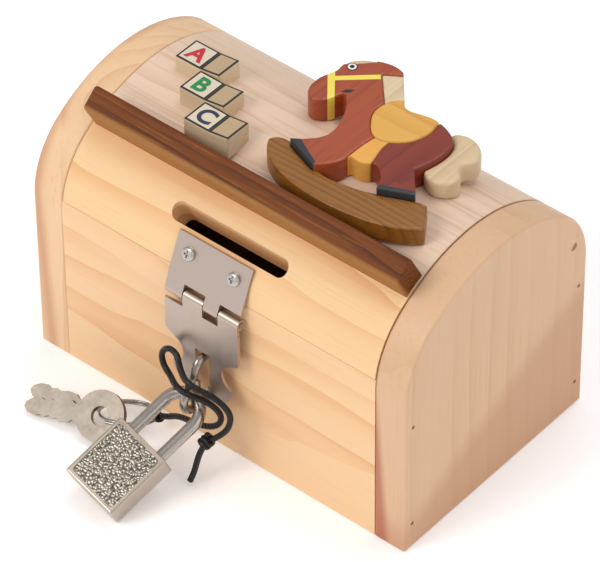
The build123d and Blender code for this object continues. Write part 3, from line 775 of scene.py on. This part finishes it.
@dataclass
class CordAndKeys:
    """Black cord with its knot, the split ring and both keys.

    Attributes:
        route: points that the cord follows, in millimetres.
        thickness: diameter of the cord, in metres.
        length: length of the cord along its middle, in metres; not used.
        knot_at: middle of the knot, in millimetres.
        ring_turn_radius: radius of the split ring's wire path, in metres.
        ring_wire: radius of the split ring's wire, in metres.
        coil_steps: points in one turn of a coil.
        steel: metal of the ring.
        nickel: metal of the keys.
        cotton: finish of the cord.
    """

    route: tuple[tuple[float, float, float], ...] = (
        (-17.4, -51.4, 6.3), (-14.6, -51.2, 7.6), (-11.4, -51.2, 10.0), (-6.6, -52.0, 12.4),
        (-1.0, -53.0, 14.4), (4.4, -53.4, 16.6), (8.8, -53.0, 20.2), (9.4, -53.0, 25.2),
        (5.2, -54.8, 29.2), (-0.4, -58.4, 31.6), (-5.6, -57.4, 31.4), (-10.6, -54.0, 30.2),
        (-14.6, -52.8, 31.8), (-15.4, -52.5, 36.2), (-12.4, -52.5, 40.0), (-8.6, -52.7, 39.6),
        (-5.6, -55.0, 36.8), (-1.0, -57.4, 35.4), (4.2, -56.0, 33.8), (9.4, -54.0, 31.4),
        (13.4, -53.0, 27.2), (13.2, -54.0, 22.0), (10.6, -55.4, 18.2), (8.0, -56.8, 15.9),
        (6.7, -58.2, 14.2), (6.1, -60.2, 11.2), (5.8, -61.4, 7.4), (5.6, -62.4, 4.2),
        (5.0, -63.6, 1.4),
    )
    thickness: float = 0.002
    length: float = 0.132
    knot_at: tuple[float, float, float] = (7.0, -57.4, 15.0)
    ring_turn_radius: float = 0.0094
    ring_wire: float = 0.00042
    coil_steps: int = 10
    steel: Metal = Metal("bright_spring_wire", "#A9A6A2", 0.2, Surface.POLISHED)
    nickel: Metal = Metal("stamped_key_nickel", "#77716A", 0.3, Surface.BRUSHED, 0.0005)
    cotton: WaxedCotton = WaxedCotton()

    def strand(self, name: str, points: list[Vector], radius: float, as_mesh: bool) -> bpy.types.Object:
        """Draw a round strand along a smooth line.

        Args:
            name: the piece's name.
            points: control points in the row frame, in metres.
            radius: radius of the strand.
            as_mesh: whether to turn it into a mesh.

        Returns:
            The strand.
        """
        data = bpy.data.curves.new(name, "CURVE")
        data.dimensions = "3D"
        data.resolution_u = 8
        data.bevel_depth = radius
        data.bevel_resolution = 4
        data.use_fill_caps = True
        line = data.splines.new("NURBS")
        line.points.add(len(points) - 1)
        for knob, point in zip(line.points, points):
            knob.co = (*point, 1.0)
        line.order_u = 3
        line.use_endpoint_u = True
        piece = bpy.data.objects.new(name, data)
        bpy.context.scene.collection.objects.link(piece)
        if as_mesh:
            activate(piece)
            bpy.ops.object.convert(target="MESH")
            bpy.ops.object.shade_smooth()
        return piece

    def coil(
        self, centre: Vector, axis: Vector, radius: float, pitch: float, turns: float, spread: float
    ) -> list[Vector]:
        """Points of a coil about an axis.

        Args:
            centre: its middle.
            axis: direction of its axis.
            radius: radius of its turns.
            pitch: distance between turns along the axis.
            turns: how many turns it has.
            spread: how much each half turn bulges, as a share of the radius.

        Returns:
            The coil's points.
        """
        axis = axis.normalized()
        side = axis.orthogonal().normalized()
        other = axis.cross(side)
        count = int(turns * self.coil_steps) + 1
        points = []
        for step in range(count):
            angle = 2 * pi * step / self.coil_steps
            along = (step / (count - 1) - 0.5) * pitch * turns
            reach = radius * (1 + spread * sin(3 * angle))
            points.append(centre + axis * along + (side * cos(angle) + other * sin(angle)) * reach)
        return points

    def build(self) -> None:
        """Make the cord, its knots and the ring, and dress the keys."""
        cotton = self.cotton.build()
        points = [Vector(point) * MM for point in self.route]
        cord = self.strand("waxed_cord", points, self.thickness / 2, False)
        cord.data.materials.append(cotton)
        stand_for(cord, "key_cord", "cord_tail")

        knot_middle = Vector(self.knot_at) * MM
        run = Vector((-2.6, -3.0, -4.0))
        winding = self.coil(knot_middle, run, 0.00155, 0.0015, 2.2, 0.12)
        knot = self.strand("overhand_knot", winding, 0.00092, True)
        knot.data.materials.append(cotton)
        stand_for(knot, "cord_knot")

        low, high = (Vector(corner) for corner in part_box("ring_hitch"))
        winding = self.coil((low + high) / 2, Vector((0.8, -0.3, 0.3)), 0.00105, 0.0016, 2.0, 0.1)
        hitch = self.strand("lark_hitch", winding, 0.0008, True)
        hitch.data.materials.append(cotton)
        stand_for(hitch, "ring_hitch")

        steel = self.steel.build()
        ring_low, ring_high = (Vector(corner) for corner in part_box("key_ring"))
        along = Vector((0.473, 0.861, -0.2)).normalized()
        normal = along.cross(Vector((0.809, -0.444, 0.342))).normalized()
        turns = self.coil(
            (ring_low + ring_high) / 2, normal, self.ring_turn_radius * 1.035, 2 * self.ring_wire, 1.9, 0.0
        )
        ring = self.strand("split_ring", turns, self.ring_wire, True)
        ring.data.materials.append(steel)
        stand_for(ring, "key_ring")

        nickel = self.nickel.build()
        for key in ("key_1", "key_2"):
            dress(key, nickel)


# ------------------------------------------------------------------ wooden box


@dataclass
class Carcass:
    """Two thick end panels, thin boards front and back, a bottom and its brads.

    Attributes:
        pine: wood of the front and back boards.
        left_end: wood of the left end panel.
        right_end: wood of the right end panel, mostly heartwood.
        dowel: wood of the lid's pivots.
        ply: wood of the bottom.
    """

    pine: Timber = Timber(
        "sanded_pine_board", "#EFC79A", "#DB9B62", "#D5A272",
        ring=0.0062, heart=(0.0, 0.012, 0.018), waviness=1.5, contrast=0.75, pores=0.18,
    )
    left_end: Timber = Timber(
        "pine_end_left", "#E8C39A", "#D09A6C", "#C69A70", Along.Z,
        ring=0.007, heart=(-0.04, -0.02, 0.0), waviness=1.0, contrast=0.5, pores=0.2,
        bands=(HeartBand("#BF8460", (1.0, 0.0, 0.06), -0.0668, 0.0020, 0.0022, 0.62),),
    )
    right_end: Timber = Timber(
        "pine_end_right", "#D8B18C", "#C79770", "#BA8C68", Along.Z,
        ring=0.009, heart=(0.04, 0.09, 0.0), waviness=1.0, contrast=0.45, pores=0.2,
        bands=(
            HeartBand("#C08C68", (0.0, 0.42, -0.9075), 0.25, 0.279, 0.006, 0.62),
            HeartBand("#A9583A", (1.0, 0.0, 0.07), 0.0690, 0.0024, 0.0018, 0.8),
        ),
    )
    dowel: Timber = Timber(
        "beech_dowel", "#DDBB93", "#C79E74", "#B98F68", ring=0.003, heart=(0.0, 0.06, 0.06)
    )
    ply: Timber = Timber("birch_plywood", "#D9BE93", "#C6A26F", "#B8935F", ring=0.009, heart=(0.0, 0.3, 0.0))

    def build(self) -> None:
        """Dress the carcass."""
        pine, ply = self.pine.build(), self.ply.build()
        dress("front_board", pine)
        dress("back_board", pine)
        dress("bottom_panel", ply)
        dress("end_panel_left", self.left_end.build())
        dress("end_panel_right", self.right_end.build())
        dress("panel_brads", Metal("darkened_brad_steel", "#4A423C", 0.5).build())
        dress("lid_pivot_pins", self.dowel.build())
        LOG.info("carcass dressed")


@dataclass
class Lid:
    """Three glued staves and the dark strip across them.

    Attributes:
        front: wood of the front stave.
        top: wood of the top stave.
        rear: wood of the rear stave.
        strip: wood of the strip, with paler sapwood on its front.
    """

    front: Timber = Timber(
        "sanded_pine_stave", "#F0C998", "#DD9F62", "#D6A574",
        ring=0.0058, heart=(0.0, -0.02, 0.055), waviness=1.4, contrast=0.7, pores=0.18,
    )
    top: Timber = Timber(
        "fine_pine_stave", "#E5C9B1", "#C69D7E", "#A5856C",
        ring=0.0034, heart=(0.0, 0.03, 0.03), waviness=0.8, contrast=0.5, pores=0.35, pore_width=0.0007,
    )
    rear: Timber = Timber(
        "fine_pine_rear_stave", "#E2C5AB", "#C89B79", "#A5856C",
        ring=0.0042, heart=(0.0, 0.05, 0.02), waviness=1.0, contrast=0.5, pores=0.3, pore_width=0.0007,
    )
    strip: Timber = Timber(
        "oiled_dark_hardwood", "#71390F", "#351505", "#A86F2C",
        ring=0.0024, heart=(0.0, -0.03, 0.07), waviness=1.6, contrast=0.85, pores=0.4, pore_width=0.0004,
        roughness=0.62, coat=0.0, gloss=0.3,
        bands=(HeartBand("#AE7A3E", (0.0, 0.887, 0.462), 0.0186, 0.0016, 0.0007, 0.7),),
    )

    def build(self) -> None:
        """Dress the lid."""
        dress("lid_front_stave", self.front.build())
        dress("lid_top_stave", self.top.build())
        dress("lid_rear_stave", self.rear.build())
        dress("crown_strip", self.strip.build())
        LOG.info("lid dressed")


@dataclass
class LetteredBlocks:
    """Three pale blocks with painted outlines and a letter each.

    Attributes:
        letters: letter and paint colour of each block.
        height: height of a letter, in metres.
        first: middle of the first block's square face, in millimetres.
        step: distance to the next block, in millimetres.
        half: half the width of a square face, in millimetres.
        side: width of the face beside it, in millimetres.
    """

    letters: tuple[tuple[str, str, str], ...] = (
        ("block_a", "A", "#C5283C"),
        ("block_b", "B", "#1E8A4A"),
        ("block_c", "C", "#2F3350"),
    )
    height: float = 0.0088
    first: tuple[float, float] = (-48.0, 4.6)
    step: tuple[float, float] = (10.7, -10.3)
    half: float = 5.1
    side: float = 6.9

    def outlines(self, x: float, y: float, top: float) -> tuple[Marking, ...]:
        """Painted lines of the block whose square face is centred at x, y.

        Args:
            x: middle of the square face, in millimetres.
            y: middle of the square face, in millimetres.
            top: height of the face, in metres.

        Returns:
            The markings, lowest first.
        """
        h, s = self.half - 0.1, self.side
        square = ((x - h, y - h), (x + h, y - h), (x + h, y + h), (x - h, y + h))
        flank = (
            (x + h, y - h), (x + h + s, y - h + 1.1), (x + h + s, y + h + 0.9), (x + h, y + h),
        )
        above = top - 0.0006
        return (
            Marking("#D9CCB6", square, Ground.FILL, above=above),
            Marking("#B8A07E", flank, Ground.FILL, above=above),
            Marking("#201A16", square, Ground.OUTLINE, 0.00075, above),
            Marking("#201A16", flank, Ground.OUTLINE, 0.0007, above),
        )

    def letter(self, name: str, text: str, colour: str, x: float, y: float, top: float) -> None:
        """Paint one letter on a block.

        Args:
            name: the block's name.
            text: the letter.
            colour: sRGB hex colour of the paint.
            x: middle of the letter, in metres.
            y: middle of the letter, in metres.
            top: height of the block's face, in metres.
        """
        deselect()
        bpy.ops.object.text_add(location=(0.0, 0.0, 0.0))
        sign = bpy.context.object
        sign.data.body = text
        sign.data.size = self.height
        sign.data.extrude = 0.06 * MM
        sign.data.offset = 0.00025
        sign.data.align_x = "CENTER"
        sign.data.align_y = "CENTER"
        bpy.ops.object.convert(target="MESH")
        painted_letter = bpy.context.object
        painted_letter.name = "painted_letter_" + text.lower()
        corners = [Vector(vertex.co) for vertex in painted_letter.data.vertices]
        middle_x = (min(c.x for c in corners) + max(c.x for c in corners)) / 2
        middle_y = (min(c.y for c in corners) + max(c.y for c in corners)) / 2
        painted_letter.data.transform(Matrix.Translation((x - middle_x, y - middle_y, top + 0.05 * MM)))
        painted_letter.data.materials.append(Enamel("letter_enamel_" + text.lower(), colour).build())
        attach(painted_letter, body_of(name))
        LOG.info("letter %s painted", text)

    def build(self) -> None:
        """Dress the blocks and paint their letters."""
        for index, (name, text, colour) in enumerate(self.letters):
            x = self.first[0] + index * self.step[0]
            y = self.first[1] + index * self.step[1]
            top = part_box(name)[1][2]
            timber = Timber(
                "painted_maple_" + text.lower(), "#DDC9A9", "#CBB18C", "#BDA17C",
                ring=0.004, heart=(0.0, 0.1, 0.0), waviness=0.8, contrast=0.4, pores=0.2, roughness=0.45,
                markings=self.outlines(x, y, top),
            )
            dress(name, timber.build())
            self.letter(name, text, colour, x * MM, y * MM, top)


@dataclass
class RockingHorse:
    """Inlaid horse on its rocker, every piece rounded over before it was glued.

    Attributes:
        grit: size of the mesh's cells while a piece is rounded, in metres.
        passes: how often a piece is smoothed.
        bridle: sRGB hex colour of the bridle.
        hoof: sRGB hex colour of the hooves.
        hoof_low: lowest height that hoof paint reaches, in metres.
        eye_at: middle of the eye, in millimetres.
    """

    grit: float = 0.00033
    passes: int = 22
    bridle: str = "#EEDC5A"
    hoof: str = "#2A3038"
    hoof_low: float = 0.1
    eye_at: tuple[float, float] = (-5.6, 28.2)

    def coat(self, name: str, pale: str, dark: str, markings: tuple[Marking, ...]) -> Timber:
        """Red-brown wood of the horse's body.

        Args:
            name: the material's name.
            pale: sRGB hex colour of the early wood.
            dark: sRGB hex colour of the late wood.
            markings: what is painted on it.

        Returns:
            The finish.
        """
        return Timber(
            name, pale, dark, "#5E2318", Along.Y,
            ring=0.0035, heart=(0.0, 0.0, 0.08), waviness=1.6, contrast=0.7, pores=0.45,
            roughness=0.38, coat=0.2, markings=markings,
        )

    def build(self) -> None:
        """Sand and dress every piece of the horse."""
        low = self.hoof_low
        front_paint_and_shade = (
            Marking(self.bridle, ((4.06, 4.55), (5.66, 5.95), (-8.95, 24.06), (-10.5, 22.3))),
            Marking(self.bridle, ((-5.6, 19.9), (4.9, 29.3), (3.6, 31.0), (-6.9, 21.5))),
            Marking(self.hoof, ((-1.0, -10.4), (13.9, -15.6), (14.2, -13.0), (1.8, -6.6)), above=low),
            # Dark patch at the top end of the notch between jaw and neck: painted shade of the hole there.
            Marking("#2A1712", ((-0.9, 16.6), (1.6, 18.2), (2.2, 20.4), (-0.2, 18.8))),
        )
        rear_paint = (
            Marking(self.hoof, ((34.6, -11.6), (47.9, -6.1), (46.2, -4.0), (34.0, -9.3)), above=low),
        )
        saddle = Timber(
            "golden_ash", "#DEA950", "#C98A36", "#B1752B", ring=0.004, heart=(0.0, 0.1, 0.0), coat=0.15
        )
        girth = Timber(
            "orange_larch", "#E6A94E", "#D08C34", "#B9772B", Along.Y,
            ring=0.003, heart=(0.1, 0.0, 0.0), coat=0.15,
        )
        mane = Timber(
            "cream_limewood_mane", "#DBC7A4", "#C6AC82", "#B8A07A", Along.Y, ring=0.003, heart=(0.1, 0.0, 0.0)
        )
        tail = Timber(
            "cream_limewood_tail", "#D6BE9B", "#C4A680", "#B39872", Along.Y, ring=0.006, heart=(0.2, 0.0, 0.0)
        )
        rocker = Timber(
            "olive_brown_hardwood", "#94601F", "#5C3510", "#3A220C",
            ring=0.0028, heart=(0.0, 0.05, 0.09), waviness=1.4, contrast=0.7, pores=0.55,
            roughness=0.38, coat=0.2,
        )
        pieces = (
            ("horse_front", self.coat("oiled_red_hardwood_front", "#A64B28", "#7A2B1A", front_paint_and_shade)),
            ("horse_hindquarters", self.coat("oiled_red_hardwood_rear", "#85301F", "#5F1B12", rear_paint)),
            ("horse_saddle", saddle),
            ("horse_girth", girth),
            ("horse_mane", mane),
            ("horse_forelock", Timber("cream_limewood_forelock", "#DBC2A4", "#C6A882", "#B89C7A")),
            ("horse_tail", tail),
            ("horse_rocker", rocker),
        )
        for node, timber in pieces:
            piece = sanded_copy(node, "sanded_" + node, self.grit, self.passes)
            piece.data.materials.append(timber.build())
        self.eye()

    def eye(self) -> None:
        """Paint the eye: a white ring round a black pupil."""
        x, y = (distance * MM for distance in self.eye_at)
        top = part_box("horse_front")[1][2]
        for name, radius, colour, lift in (
            ("eye_black", 1.75, "#16120F", 0.05),
            ("eye_white", 1.4, "#F4F2EC", 0.12),
            ("eye_pupil", 0.75, "#16120F", 0.19),
        ):
            deselect()
            bpy.ops.mesh.primitive_cylinder_add(
                vertices=32, radius=radius * MM, depth=0.5 * MM, location=(0.0, 0.0, 0.0)
            )
            dot = bpy.context.object
            dot.name = name
            dot.data.transform(Matrix.Translation((x, y, top - 0.25 * MM + lift * MM)))
            apply_modifier(dot, "BEVEL", width=0.05 * MM, segments=2, limit_method="ANGLE")
            dot.data.materials.append(Enamel(name + "_enamel", colour).build())
            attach(dot, body_of("horse_front"))
            LOG.info("%s painted", name)


# ------------------------------------------------------------------ hardware


@dataclass
class Hasp:
    """Hinged hasp, its screws and the wire staple.

    Attributes:
        plate: metal of both leaves.
        wire: metal of the hinge pin and the staple.
        zinc: metal of the screws.
    """

    plate: Metal = Metal("satin_nickel_plate", "#BFB0A6", 0.3, Surface.BRUSHED, 0.0006)
    wire: Metal = Metal("nickelled_wire", "#A79C92", 0.22, Surface.POLISHED)
    zinc: Metal = Metal("zinc_screw_heads", "#C4BFBA", 0.3, Surface.POLISHED)

    def build(self) -> None:
        """Dress the hasp and its staple."""
        plate, wire = self.plate.build(), self.wire.build()
        for node in ("hasp_leaf", "hasp_flap"):
            dress(node, plate)
        for node in ("hasp_pin", "staple"):
            dress(node, wire)
        dress("hasp_screws", self.zinc.build())
        LOG.info("hasp dressed")


@dataclass
class Padlock:
    """Small padlock with a cast, pebbled face.

    Attributes:
        case: metal of the case.
        face: metal of the pebbled plates.
        shackle: metal of the shackle.
        brass: metal of the cylinder and the latch.
        music_wire: metal of the spring.
        pressed: share of its length that the spring keeps when the latch is drawn; not used.
    """

    case: Metal = Metal("champagne_nickel_case", "#B9ADA2", 0.24, Surface.BRUSHED, 0.0005)
    face: Metal = Metal("pebbled_nickel_casting", "#A9A299", 0.3, Surface.PEBBLED, 0.00068)
    shackle: Metal = Metal("plated_shackle_steel", "#B3ABA3", 0.18, Surface.POLISHED)
    brass: Metal = Metal("turned_brass", "#C9A358", 0.3, Surface.POLISHED)
    music_wire: Metal = Metal("music_wire", "#9C9892", 0.25, Surface.POLISHED)
    pressed: float = 0.44

    def build(self) -> None:
        """Dress every piece of the padlock."""
        brass = self.brass.build()
        dress("padlock_case", self.case.build())
        dress("padlock_face_plates", self.face.build())
        dress("padlock_shackle", self.shackle.build())
        dress("lock_cylinder", brass)
        dress("lock_latch", brass)
        self.spring()
        LOG.info("padlock dressed")

    def spring(self) -> None:
        """Copy the coiled spring as a smooth piece of music wire."""
        coil = copied_mesh("latch_spring", "pressed_spring")
        bpy.ops.object.shade_smooth()
        coil.data.materials.append(self.music_wire.build())
        stand_for(coil, "latch_spring")
        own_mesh(coil)


def main() -> None:
    """Build the studio and every sub-assembly in order."""
    logging.basicConfig(level=logging.INFO, format="%(name)s: %(message)s")
    Studio().build()
    CordAndKeys().build()
    Carcass().build()
    Lid().build()
    LetteredBlocks().build()
    RockingHorse().build()
    Hasp().build()
    Padlock().build()
    deselect()


if __name__ == "__main__":
    main()
